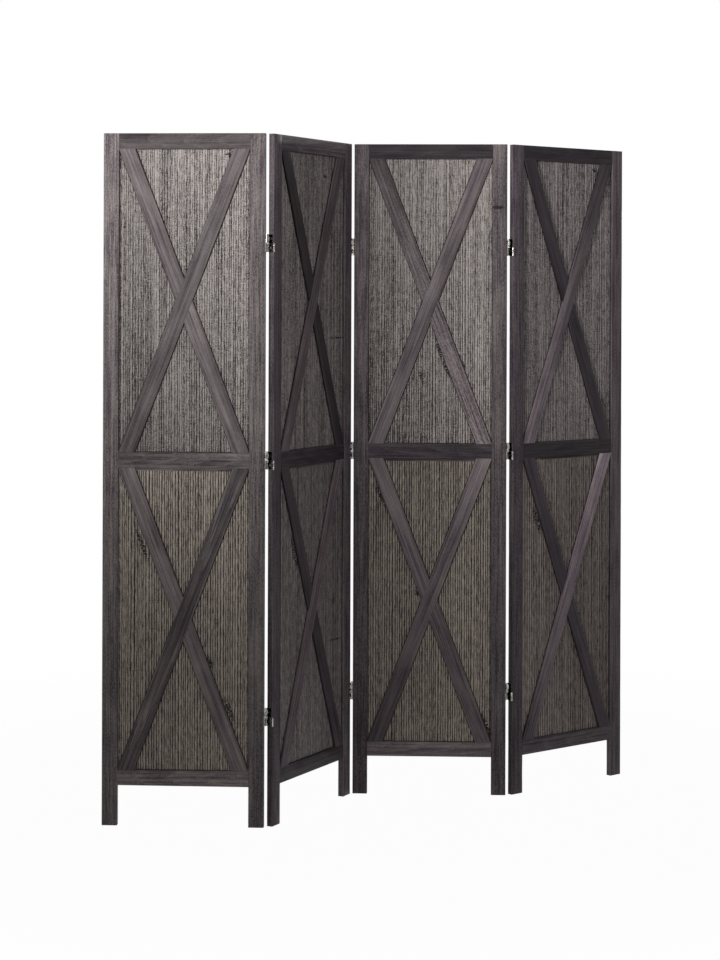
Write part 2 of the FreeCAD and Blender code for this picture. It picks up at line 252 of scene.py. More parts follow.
def inside_mark(tree: Tree, label: str, grain: Socket, lean: float = 0.0, strength: float = 0.95) -> Socket:
    """Tells how far inside a mark on the wood a place lies.

    Args:
        tree: The material's tree.
        label: The attribute that holds the mark's place and size.
        grain: The place in the grain.
        lean: How far the mark moves aside for each metre down the grain.
        strength: The value at the mark's middle.

    Returns:
        Zero outside the mark, and the strength at its middle.
    """
    spot = add_node(tree, "SeparateXYZ", {}, {0: grain}).node.outputs
    mark = add_node(tree, "Attribute", {"attribute_name": label}).node.outputs
    place = add_node(tree, "SeparateColor", {}, {0: mark["Color"]}).node.outputs
    aside = add_node(tree, "Math", {"operation": "SUBTRACT"}, {0: spot["X"], 1: place["Red"]})
    above = add_node(tree, "Math", {"operation": "SUBTRACT"}, {0: spot["Z"], 1: place["Green"]})
    aside = add_node(tree, "Math", {"operation": "MULTIPLY_ADD"}, {0: above, 1: lean, 2: aside})
    aside = add_node(tree, "Math", {"operation": "DIVIDE"}, {0: aside, 1: place["Blue"]})
    above = add_node(tree, "Math", {"operation": "DIVIDE"}, {0: above, 1: mark["Alpha"]})
    flat = add_node(tree, "CombineXYZ", {}, {"X": aside, "Y": above})
    away = add_node(tree, "VectorMath", {"operation": "LENGTH"}, {0: flat}, "Value")
    return add_node(
        tree, "MapRange", SMOOTH,
        {"Value": away, "From Min": 0.5, "From Max": 1.0, "To Min": strength, "To Max": 0.0},
    )


@dataclass(frozen=True)
class StainedWood:
    """Planed poplar, wiped with a thin grey-black stain that sinks into the soft early wood.

    Each noise is given by its width and length on the wood and its fineness.
    """

    name: str = "stained_poplar"
    pale: str = "#7f7775"
    deep: str = "#3d353a"
    rubbed: str = "#9a918c"
    knot: str = "#1d181a"
    fibre: Triple = (2.2 * MM, 70 * MM, 3.0)
    streak: Triple = (6 * MM, 320 * MM, 2.0)
    cloud: Triple = (45 * MM, 120 * MM, 2.0)
    fleck: Triple = (2.2 * MM, 5 * MM, 1.0)
    pore: Triple = (0.9 * MM, 11 * MM, 1.0)
    fineness: float = 0.6
    streak_tones: Pair = (0.14, 0.64)
    ring_sway: float = 9 * MM
    late_wood: float = 5.0
    late_mean: float = 0.17
    pore_tone: float = 0.6
    knot_mottle: float = 0.7
    rub_share: float = 0.6
    roughness: Pair = (0.62, 0.48)
    bump_strength: float = 0.6
    bump_height: float = 0.25 * MM

    def material(self) -> Material:
        """Makes the finish, with rings, fibres, pores, knots and rubbed edges.

        Returns:
            The finished material.
        """
        # Satin and a little uneven: dark late wood lines, soft streaks along the stick,
        # cloudy patches where the stain was wiped, and paler wood where edges are rubbed.
        material, tree = new_material(self.name)
        read = {}
        for name, output in (
            ("grain", "Vector"), ("pith", "Vector"), ("tone", "Vector"), ("rings", "Vector"),
            ("wear", "Fac"), ("speckle", "Fac"),
        ):
            read[name] = add_node(tree, "Attribute", {"attribute_name": name}, {}, output)
        names = ("fibre", "streak", "cloud", "fleck", "pore")
        sizes = {name: getattr(self, name) for name in names}
        fields = noise_fields(tree, read["grain"], sizes, self.fineness)
        # Each layer adds to one amount, from deep to pale.
        amount = add_node(
            tree, "MapRange", SMOOTH,
            {
                "Value": fields["streak"], **NOISE_SPAN,
                "To Min": self.streak_tones[0], "To Max": self.streak_tones[1],
            },
        )
        late, strength = self.rings(tree, read, fields)
        amount = add_node(
            tree, "Math", {"operation": "MULTIPLY_ADD"}, {0: late, 1: strength, 2: amount},
        )
        weights = {"fibre": read["speckle"], "fleck": read["speckle"], "cloud": 1.0}
        amount = layered(tree, amount, fields, weights)
        colour = add_node(
            tree, "Mix", COLOURS,
            {MIX_FACTOR: amount, MIX_FIRST: linear(self.deep), MIX_SECOND: linear(self.pale)},
        )
        pores = add_node(
            tree, "MapRange", SMOOTH,
            {
                "Value": fields["pore"], "From Min": 0.6, "From Max": 0.74,
                "To Min": 1.0, "To Max": self.pore_tone,
            },
        )
        colour = add_node(tree, "VectorMath", {"operation": "SCALE"}, {0: colour, "Scale": pores})
        colour = add_node(tree, "VectorMath", {"operation": "MULTIPLY"}, {0: colour, 1: read["tone"]})
        mottled = add_node(
            tree, "MapRange", {},
            {
                "Value": fields["fleck"], "From Min": 0.35, "From Max": 0.55,
                "To Min": self.knot_mottle, "To Max": 1.0,
            },
        )
        inside = inside_mark(tree, KNOT_LAYER, read["grain"])
        knot = add_node(tree, "Math", {"operation": "MULTIPLY"}, {0: inside, 1: mottled})
        patchy = add_node(
            tree, "MapRange", {},
            {
                "Value": fields["streak"], "From Min": 0.4, "From Max": 0.7,
                "To Min": 0.0, "To Max": self.rub_share,
            },
        )
        rub = add_node(tree, "Math", {"operation": "MULTIPLY"}, {0: read["wear"], 1: patchy})
        for share, shade in ((knot, self.knot), (rub, self.rubbed)):
            colour = add_node(
                tree, "Mix", COLOURS,
                {MIX_FACTOR: share, MIX_FIRST: colour, MIX_SECOND: linear(shade)},
            )
        rough = add_node(
            tree, "MapRange", {},
            {
                "Value": fields["fibre"], **NOISE_SPAN,
                "To Min": self.roughness[0], "To Max": self.roughness[1],
            },
        )
        height = add_node(
            tree, "Math", {"operation": "MULTIPLY_ADD"}, {0: pores, 1: 0.5, 2: fields["fibre"]},
        )
        look = {"Base Color": colour, "Roughness": rough, **WOOD_SHEEN}
        finish_material(tree, look, height, self.bump_strength, self.bump_height)
        return material

    def rings(self, tree: Tree, read: dict[str, Socket], fields: dict[str, Socket]) -> tuple[Socket, Socket]:
        """Draws the late wood of the rings by the distance from the log's leaning middle.

        Args:
            tree: The material's tree.
            read: What the mesh says of each place, by name.
            fields: The noises by name.

        Returns:
            The late wood, about zero, and how pale it shows.
        """
        spot, middle, ring = (
            add_node(tree, "SeparateXYZ", {}, {0: read[name]}).node.outputs
            for name in ("grain", "pith", "rings")
        )
        lean = add_node(
            tree, "Math", {"operation": "MULTIPLY_ADD"}, {0: spot["Z"], 1: middle["Z"], 2: spot["Y"]},
        )
        depth = add_node(tree, "Math", {"operation": "SUBTRACT"}, {0: lean, 1: middle["Y"]})
        across = add_node(tree, "Math", {"operation": "SUBTRACT"}, {0: spot["X"], 1: middle["X"]})
        sway = add_node(
            tree, "Math", {"operation": "MULTIPLY_ADD"},
            {0: fields["cloud"], 1: self.ring_sway, 2: across},
        )
        flat = add_node(tree, "CombineXYZ", {}, {"X": sway, "Y": depth})
        radius = add_node(tree, "VectorMath", {"operation": "LENGTH"}, {0: flat}, "Value")
        count = add_node(
            tree, "Math", {"operation": "MULTIPLY_ADD"}, {0: radius, 1: ring["X"], 2: fields["streak"]},
        )
        part = add_node(tree, "Math", {"operation": "FRACT"}, {0: count})
        late = add_node(tree, "Math", {"operation": "POWER"}, {0: part, 1: self.late_wood})
        late = add_node(tree, "Math", {"operation": "SUBTRACT"}, {0: late, 1: self.late_mean})
        return late, ring["Y"]


@dataclass(frozen=True)
class BrushedBoard:
    """Straight-grained softwood, wire brushed into fine ribs, then stained and rubbed back.

    Each noise is given by its width and length on the wood and its fineness.
    """

    name: str = "wire_brushed_pine"
    rib: str = "#bfb6b1"
    hollow: str = "#211a1f"
    torn_and_shadow: str = "#121011"
    fibre: Triple = (2.0 * MM, 20 * MM, 3.0)
    band: Triple = (7 * MM, 380 * MM, 2.0)
    cloud: Triple = (36 * MM, 260 * MM, 2.0)
    grit: Triple = (1.4 * MM, 2.2 * MM, 1.0)
    ripple: Triple = (14 * MM, 2.6 * MM, 1.0)
    tick: Triple = (7 * MM, 2.6 * MM, 1.0)
    fineness: float = 0.6
    rib_tones: Pair = (0.72, -0.3)
    fibre_weight: float = 1.9
    mark_lean: float = 0.38
    # The width and the darkest tone of the painted shade along the braces and the frame.
    edge_shade_width: float = 3.6 * MM
    edge_shade_tone: float = 0.03
    roughness: Pair = (0.78, 0.58)
    bump_strength: float = 0.7
    bump_height: float = 0.3 * MM

    def material(self) -> Material:
        """Makes the finish, darkest in the hollows between the ribs, in torn spots and painted shadow marks,
        and in painted shade along the braces and the frame.

        Returns:
            The finished material.
        """
        # Dry and striped: the ribs were rubbed pale, the hollows hold the dark stain, and
        # here and there the brush tore out short dark ticks across the grain. The grit is
        # drawn coarser than the real one, so that it shows.
        material, tree = new_material(self.name)
        read = {}
        for name, output in (("grain", "Vector"), ("tone", "Vector"), ("hollow", "Fac"), ("speckle", "Fac")):
            read[name] = add_node(tree, "Attribute", {"attribute_name": name}, {}, output)
        names = ("fibre", "band", "cloud", "grit", "ripple", "tick")
        sizes = {name: getattr(self, name) for name in names}
        fields = noise_fields(tree, read["grain"], sizes, self.fineness, NOISE_TURN)
        amount = add_node(
            tree, "MapRange", {},
            {"Value": read["hollow"], "To Min": self.rib_tones[0], "To Max": self.rib_tones[1]},
        )
        weights = {"fibre": self.fibre_weight}
        for name, share in (("grit", 1.0), ("ripple", 0.25), ("band", 0.4), ("cloud", 0.22)):
            weights[name] = add_node(
                tree, "Math", {"operation": "MULTIPLY"}, {0: read["speckle"], 1: share},
            )
        amount = layered(tree, amount, fields, weights)
        colour = add_node(
            tree, "Mix", COLOURS,
            {MIX_FACTOR: amount, MIX_FIRST: linear(self.hollow), MIX_SECOND: linear(self.rib)},
        )
        colour = add_node(tree, "VectorMath", {"operation": "MULTIPLY"}, {0: colour, 1: read["tone"]})
        # Painted shade: a narrow dark strip on the board along the braces and the frame.
        shade_at_edges = self.painted_edge_shade(tree)
        colour = add_node(tree, "VectorMath", {"operation": "SCALE"}, {0: colour, "Scale": shade_at_edges})
        ticks = add_node(
            tree, "MapRange", SMOOTH, {"Value": fields["tick"], "From Min": 0.42, "From Max": 0.5},
        )
        # The marks darken the board with short ticks: torn spots, and on panel 3's upper board painted
        # shadow beside the brace.
        for label in MARK_LAYERS:
            inside = inside_mark(tree, label, read["grain"], self.mark_lean)
            torn_and_shadow = add_node(tree, "Math", {"operation": "MULTIPLY"}, {0: inside, 1: ticks})
            colour = add_node(
                tree, "Mix", COLOURS,
                {MIX_FACTOR: torn_and_shadow, MIX_FIRST: colour, MIX_SECOND: linear(self.torn_and_shadow)},
            )
        rough = add_node(
            tree, "MapRange", {},
            {"Value": amount, "To Min": self.roughness[0], "To Max": self.roughness[1]},
        )
        look = {"Base Color": colour, "Roughness": rough, **WOOD_SHEEN}
        finish_material(tree, look, fields["fibre"], self.bump_strength, self.bump_height)
        return material

    def painted_edge_shade(self, tree: Tree) -> Socket:
        """Paints shade on the board along the braces and the frame, darkest right at their edges.

        Args:
            tree: The material's tree.

        Returns:
            A factor for the colour, one away from the edges.
        """
        nearest = None
        for label in EDGE_LAYERS:
            signed = add_node(tree, "Attribute", {"attribute_name": label}, {}, "Vector")
            parts = add_node(tree, "SeparateXYZ", {}, {0: signed}).node.outputs
            away = add_node(tree, "Math", {"operation": "ABSOLUTE"}, {0: parts["X"]})
            away = add_node(
                tree, "Math", {"operation": "MULTIPLY_ADD"}, {0: away, 1: parts["Y"], 2: parts["Z"]},
            )
            if nearest is None:
                nearest = away
            else:
                nearest = add_node(tree, "Math", {"operation": "MINIMUM"}, {0: nearest, 1: away})
        return add_node(
            tree, "MapRange", SMOOTH,
            {"Value": nearest, "From Max": self.edge_shade_width, "To Min": self.edge_shade_tone},
        )


@dataclass(frozen=True)
class BurnishedSteel:
    """Pressed steel, oil-blackened, then rubbed bright along its edges by handling."""

    name: str
    plain: str
    tarnished: str
    # The rubbed colour serves both the worn edges and the painted glints on the knuckles.
    rubbed: str
    roughness: float
    facing: Triple = (0.0, 0.0, 1.0)
    knuckle_glint: float = 0.0
    spared: float = 0.35
    brush: Triple = (14 * MM, 0.5 * MM, 2.0)
    spot: Triple = (4 * MM, 4 * MM, 2.0)
    fineness: float = 0.5
    rub_width: float = 0.7 * MM
    rub_share: float = 0.9
    bump_strength: float = 0.25
    bump_height: float = 0.05 * MM

    def material(self) -> Material:
        """Makes the finish, with brush lines, duller spots, bright edges and painted glints on the knuckles.

        Returns:
            The finished material.
        """
        # Dark and slightly streaked on the flats that lie square to the facing, with bright edges where
        # handling rubbed them down to the bare metal, and painted glints on the round knuckles, dulled in
        # spots.
        material, tree = new_material(self.name)
        place = add_node(tree, "TexCoord", {}, {}, "Object")
        fields = noise_fields(tree, place, {"brush": self.brush, "spot": self.spot}, self.fineness)
        dull = add_node(
            tree, "MapRange", SMOOTH, {"Value": fields["spot"], "From Min": 0.42, "From Max": 0.6},
        )
        colour = add_node(
            tree, "Mix", COLOURS,
            {MIX_FACTOR: dull, MIX_FIRST: linear(self.plain), MIX_SECOND: linear(self.tarnished)},
        )
        flat = add_node(tree, "NewGeometry", {}, {}, "Normal")
        eased = add_node(tree, "Bevel", {"samples": 6}, {"Radius": self.rub_width}, "Normal")
        turn = add_node(tree, "VectorMath", {"operation": "DOT_PRODUCT"}, {0: flat, 1: eased}, "Value")
        edge = add_node(
            tree, "MapRange", SMOOTH,
            {"Value": turn, "From Min": 0.995, "From Max": 0.9, "To Min": 0.0, "To Max": self.rub_share},
        )
        # Painted highlight: faces that turn away from the facing, as on the round knuckles, get the bright
        # colour as glints, less in dull spots.
        own = add_node(tree, "TexCoord", {}, {}, "Normal")
        square = add_node(
            tree, "VectorMath", {"operation": "DOT_PRODUCT"}, {0: own, 1: self.facing}, "Value",
        )
        square = add_node(tree, "Math", {"operation": "ABSOLUTE"}, {0: square})
        painted_glint = add_node(
            tree, "MapRange", SMOOTH,
            {"Value": square, "From Min": 0.98, "From Max": 0.85, "To Min": 0.0, "To Max": self.knuckle_glint},
        )
        spared = add_node(
            tree, "MapRange", {}, {"Value": dull, "To Min": 1.0, "To Max": self.spared},
        )
        glint = add_node(tree, "Math", {"operation": "MULTIPLY"}, {0: painted_glint, 1: spared})
        bright = add_node(tree, "Math", {"operation": "MAXIMUM"}, {0: edge, 1: glint})
        colour = add_node(
            tree, "Mix", COLOURS,
            {MIX_FACTOR: bright, MIX_FIRST: colour, MIX_SECOND: linear(self.rubbed)},
        )
        rough = add_node(
            tree, "MapRange", {},
            {
                "Value": fields["brush"], **NOISE_SPAN,
                "To Min": self.roughness - 0.06, "To Max": self.roughness + 0.1,
            },
        )
        look = {"Base Color": colour, "Metallic": 1.0, "Roughness": rough}
        finish_material(tree, look, fields["brush"], self.bump_strength, self.bump_height)
        return material


@dataclass(frozen=True)
class Mark:
    """A torn spot on a board, a painted shadow beside a brace, or a knot in a stick, in millimetres from the
    middle of the piece.
    """

    across: float
    along: float
    half_across: float
    half_along: float

    def layer(self, shift: Vector) -> tuple[float, float, float, float]:
        """The mark's place in the shifted grain and its half sizes, in metres."""
        place = (self.across * MM + shift.x, self.along * MM + shift.z)
        return (*place, self.half_across * MM, self.half_along * MM)


NO_MARK = Mark(9000, 9000, 1, 1)


@dataclass(frozen=True)
class Groove:
    """A groove for a board's tongue in a stick's edge, from start to end along the stick."""

    side: float
    start: float
    end: float
    depth: float = 8 * MM
    width: float = 5.2 * MM


@dataclass(frozen=True)
class Trim:
    """A saw cut across a stick: what lies beyond the point along the normal goes."""

    point: Vector
    normal: Vector


@dataclass
class Stick:
    """A straight stick of wood, x across, y through and z along its grain, about its middle."""

    width: float
    thickness: float
    length: float
    place: Matrix
    sawn: Sawn
    stain: Stain
    seed: int
    grooves: tuple[Groove, ...] = ()
    trims: tuple[Trim, ...] = ()
    soft_ends: bool = False
    speckle: float = 0.7
    fade: float = 0.0
    coolness: float = 0.0
    knot: Mark = NO_MARK
    softening: float = 1.0 * MM
    step: float = 22 * MM
    rub_gain: float = 2.4
    dent_from: float = 0.1
    dent_depth: float = 0.35 * MM
    dents_per_metre: Triple = (40.0, 90.0, 24.0)
    log_beside: Pair = (0.2, 0.4)
    log_behind: Pair = (0.02, 0.05)
    log_aside: float = 0.012
    lean_spread: Pair = (0.67, 1.33)
    tone_spread: Pair = (0.96, 1.04)
    cool_green: float = 0.05
    cool_blue: float = 0.06

    def shape(self) -> Mesh:
        """Cuts the stick to shape and softens its edges.

        Returns:
            The stick's mesh, still about its own middle.
        """
        mesh = bmesh.new()
        bmesh.ops.create_cube(mesh, size=1.0)
        bmesh.ops.scale(mesh, vec=(self.width, self.thickness, self.length), verts=mesh.verts)
        soft = [edge for edge in mesh.edges if self.soft_ends or self.runs_along(edge)]
        bmesh.ops.bevel(
            mesh, geom=soft, offset=self.softening, offset_type="OFFSET", segments=2,
            profile=0.5, affect="EDGES", material=-1,
        )
        long_edges = [edge for edge in mesh.edges if edge.calc_length() > self.length / 2]
        cuts = max(2, round(self.length / self.step))
        bmesh.ops.subdivide_edges(mesh, edges=long_edges, cuts=cuts, use_grid_fill=True)
        for groove in self.grooves:
            self.plough(mesh, groove)
        for trim in self.trims:
            self.saw(mesh, trim)
        bmesh.ops.recalc_face_normals(mesh, faces=mesh.faces)
        return mesh

    def runs_along(self, edge: bmesh.types.BMEdge) -> bool:
        """Whether an edge runs along the grain."""
        first, last = (corner.co for corner in edge.verts)
        return abs(first.z - last.z) > self.length / 2

    def plough(self, mesh: Mesh, groove: Groove) -> None:
        """Sinks a groove into one edge of the stick.

        Args:
            mesh: The stick's mesh.
            groove: The groove's place and size.
        """
        half = groove.width / 2
        for point, normal in (
            ((0, -half, 0), (0, 1, 0)),
            ((0, half, 0), (0, 1, 0)),
            ((0, 0, groove.start), (0, 0, 1)),
            ((0, 0, groove.end), (0, 0, 1)),
        ):
            everything = mesh.verts[:] + mesh.edges[:] + mesh.faces[:]
            bmesh.ops.bisect_plane(
                mesh, geom=everything, plane_co=point, plane_no=normal, dist=CUT_TOUCH,
            )
        mesh.normal_update()
        strip = []
        for face in mesh.faces:
            middle = face.calc_center_median()
            inside = abs(middle.y) < half and groove.start < middle.z < groove.end
            if inside and face.normal.x * groove.side > FACES_SIDE:
                strip.append(face)
        made = bmesh.ops.extrude_face_region(mesh, geom=strip)
        sunk = [item for item in made["geom"] if isinstance(item, bmesh.types.BMVert)]
        bmesh.ops.translate(mesh, verts=sunk, vec=(-groove.side * groove.depth, 0, 0))

    def saw(self, mesh: Mesh, trim: Trim) -> None:
        """Cuts an end off the stick and closes the cut.

        Args:
            mesh: The stick's mesh.
            trim: The plane of the cut.
        """
        everything = mesh.verts[:] + mesh.edges[:] + mesh.faces[:]
        made = bmesh.ops.bisect_plane(
            mesh, geom=everything, plane_co=trim.point, plane_no=trim.normal, dist=CUT_TOUCH,
            clear_outer=True,
        )
        rim = [item for item in made["geom_cut"] if isinstance(item, bmesh.types.BMEdge)]
        bmesh.ops.edgeloop_fill(mesh, edges=rim)

    def draw_log(self, draw: Random) -> Vector:
        """Draws where the log's middle lies from the stick's middle.

        Args:
            draw: The stick's own draws.

        Returns:
            How far aside and behind it lies, and how far it leans for each metre.
        """
        if self.sawn is Sawn.QUARTER:
            return Vector((draw.choice((-1, 1)) * draw.uniform(*self.log_beside), 0.0, 0.0))
        log_lean = self.sawn.value[2]
        lean = draw.choice((-1, 1)) * draw.uniform(*self.lean_spread) * log_lean
        aside = draw.uniform(-self.log_aside, self.log_aside)
        return Vector((aside, draw.uniform(*self.log_behind), lean))

    def paint(self, mesh: Mesh) -> None:
        """Dents the edges a little and writes what the finish reads: grain, rings, tone and wear.

        Args:
            mesh: The stick's mesh.
        """
        draw = Random(self.seed)
        pith = self.draw_log(draw)
        shift = far_place(draw)
        pith += Vector((shift.x, shift.y + pith.z * shift.z, 0.0))
        cool = self.coolness + 1.0 - min(1.0, self.stain.value)
        tint = Vector((1.0, 1.0 - self.cool_green * cool, 1.0 + self.cool_blue * cool))
        tone = tint * self.stain.value * draw.uniform(*self.tone_spread)
        ring_width, ring_strength = self.sawn.value[:2]
        knot = self.knot.layer(shift)
        layers = mesh.verts.layers
        grain_layer, pith_layer, tone_layer, rings_layer = (
            layers.float_vector.new(name) for name in ("grain", "pith", "tone", "rings")
        )
        wear_layer, speckle_layer = (layers.float.new(name) for name in ("wear", "speckle"))
        knot_layer = layers.float_color.new(KNOT_LAYER)
        for corner in mesh.verts:
            spot = corner.co.copy()
            corner[grain_layer] = spot + shift
            corner[pith_layer] = pith
            corner[tone_layer] = tone * (1.0 + self.fade * spot.z * 2 / self.length)
            corner[rings_layer] = (1 / ring_width, ring_strength, 0.0)
            corner[speckle_layer] = self.speckle
            corner[knot_layer] = knot
            inset = self.width / 2 - abs(spot.x) + self.thickness / 2 - abs(spot.y)
            edge = max(0.0, 1.0 - inset / self.softening)
            corner[wear_layer] = min(1.0, self.rub_gain * edge)
            if edge > self.dent_from:
                wide, deep, long = (pace * size for pace, size in zip(self.dents_per_metre, spot))
                dent = self.dent_depth * max(0.0, swing(wide + self.seed, deep, long))
                corner.co.x -= math.copysign(dent, spot.x)
                corner.co.y -= math.copysign(dent, spot.y)

    def made(self) -> Mesh:
        """Shapes and paints the stick and sets it in its place.

        Returns:
            The stick's mesh in the row frame.
        """
        mesh = self.shape()
        self.paint(mesh)
        bmesh.ops.transform(mesh, matrix=self.place, verts=mesh.verts)
        return mesh


@dataclass
class Board:
    """A thin ribbed board, x across, y through and z up its grain, about its middle.

    The lean is how much paler it gets to the right and to the top, and the relief how strongly
    the hollows show and how that grows to the top.
    """

    width: float
    thickness: float
    length: float
    place: Matrix
    tone: Vector
    seed: int
    marks: tuple[Mark, ...]
    lean: Pair
    relief: Pair
    speckle: float
    unevenness: float
    tongue: float
    brace_tilt: float
    brace_width: float
    column: float = 0.8 * MM
    row: float = 21 * MM
    rib_spacing: float = 6.1 * MM
    hollow_depth: float = 0.55 * MM
    sway: float = 0.8 * MM
    sway_size: Pair = (0.05, 0.4)
    drift: float = 0.6
    drift_size: Pair = (0.018, 1.6)
    crest_share: float = 0.42
    wall_share: float = 0.53
    worn_depth: float = 0.85
    worn_swing: float = 0.1
    worn_length: float = 0.4
    crest_depth: float = 0.12
    crest_length: float = 0.7

    def hollow(self, across: float, along: float, side: float) -> float:
        """How far a spot lies in the hollow between two ribs.

        Args:
            across: The spot's place across the board.
            along: The spot's place up the board.
            side: A number that is different for the two faces.

        Returns:
            Zero on a rib's crest, and one at the bottom of the deepest hollow.
        """
        own = self.seed * SEED_STRIDE + side * FACE_STRIDE
        sway = self.sway * swing(across / self.sway_size[0], along / self.sway_size[1], own)
        drift = swing(across / self.drift_size[0], along / self.drift_size[1], own + DRIFT_LAYER)
        count = (across + sway) / self.rib_spacing + self.drift * drift
        rib = math.floor(count)
        away = abs(count - rib - 0.5) * 2
        ease = min(1.0, max(0.0, (away - self.crest_share) / self.wall_share))
        worn = swing(rib * WORN_STRIDE, along / self.worn_length, own + WORN_LAYER)
        worn = self.worn_depth + (self.worn_swing + self.unevenness) * worn
        crest = swing(rib * CREST_STRIDE, along / self.crest_length, own + CREST_LAYER)
        crest = max(0.0, self.crest_depth + self.unevenness * crest)
        depth = crest + (1.0 - crest) * ease * ease * (3 - 2 * ease) * worn
        return min(1.0, max(0.0, depth))

    def made(self) -> Mesh:
        """Ribs, paints and places the board.

        Returns:
            The board's mesh in the row frame.
        """
        mesh = bmesh.new()
        columns = round(self.width / self.column)
        rows = round(self.length / self.row)
        bmesh.ops.create_grid(mesh, x_segments=columns, y_segments=rows, size=0.5)
        bmesh.ops.scale(mesh, vec=(self.width, self.length, 1.0), verts=mesh.verts)
        bmesh.ops.rotate(mesh, matrix=Matrix.Rotation(math.pi / 2, 3, "X"), verts=mesh.verts)
        bmesh.ops.translate(mesh, vec=(0, -self.thickness / 2, 0), verts=mesh.verts)
        back = bmesh.ops.extrude_face_region(mesh, geom=mesh.faces[:])
        moved = [item for item in back["geom"] if isinstance(item, bmesh.types.BMVert)]
        bmesh.ops.translate(mesh, vec=(0, self.thickness, 0), verts=moved)
        bmesh.ops.recalc_face_normals(mesh, faces=mesh.faces)
        self.paint(mesh)
        bmesh.ops.transform(mesh, matrix=self.place, verts=mesh.verts)
        for face in mesh.faces:
            face.smooth = True
        return mesh

    def edges_near(self, spot: Vector) -> list[Vector]:
        """Measures a spot against the braces and the frame.

        Args:
            spot: The spot's place on the board.

        Returns:
            For each edge, a distance from a middle line, and the factor and the length that turn
            its size into the distance from the edge.
        """
        across = spot.x * math.cos(self.brace_tilt)
        along = spot.z * math.sin(self.brace_tilt)
        half = self.brace_width / 2 if spot.y < 0 else NO_BRACE
        return [
            Vector((across - along, 1.0, -half)),
            Vector((across + along, 1.0, -half)),
            Vector((spot.x, -1.0, self.width / 2 - self.tongue)),
            Vector((spot.z, -1.0, self.length / 2 - self.tongue)),
        ]

    def paint(self, mesh: Mesh) -> None:
        """Sinks the hollows and writes what the finish reads: grain, tone, edges and torn spots.

        Args:
            mesh: The board's mesh.
        """
        shift = far_place(Random(self.seed))
        layers = mesh.verts.layers
        grain_layer, tone_layer = (layers.float_vector.new(name) for name in ("grain", "tone"))
        hollow_layer, speckle_layer = (layers.float.new(name) for name in ("hollow", "speckle"))
        edge_layers = [layers.float_vector.new(name) for name in EDGE_LAYERS]
        mark_layers = [layers.float_color.new(name) for name in MARK_LAYERS]
        unmarked = [NO_MARK.layer(shift)] * len(MARK_LAYERS)
        marked = [mark.layer(shift) for mark in self.marks] + unmarked
        for corner in mesh.verts:
            spot = corner.co.copy()
            side = math.copysign(1.0, spot.y)
            depth = self.hollow(spot.x, spot.z, side)
            rightward = spot.x * 2 / self.width
            upward = spot.z * 2 / self.length
            corner[grain_layer] = spot + shift
            corner[tone_layer] = self.tone * (1.0 + self.lean[0] * rightward + self.lean[1] * upward)
            corner[hollow_layer] = depth * (self.relief[0] + self.relief[1] * upward)
            corner[speckle_layer] = self.speckle
            for layer, away in zip(edge_layers, self.edges_near(spot)):
                corner[layer] = away
            for layer, mark in zip(mark_layers, marked if side < 0 else unmarked):
                corner[layer] = mark
            corner.co.y -= side * self.hollow_depth * depth


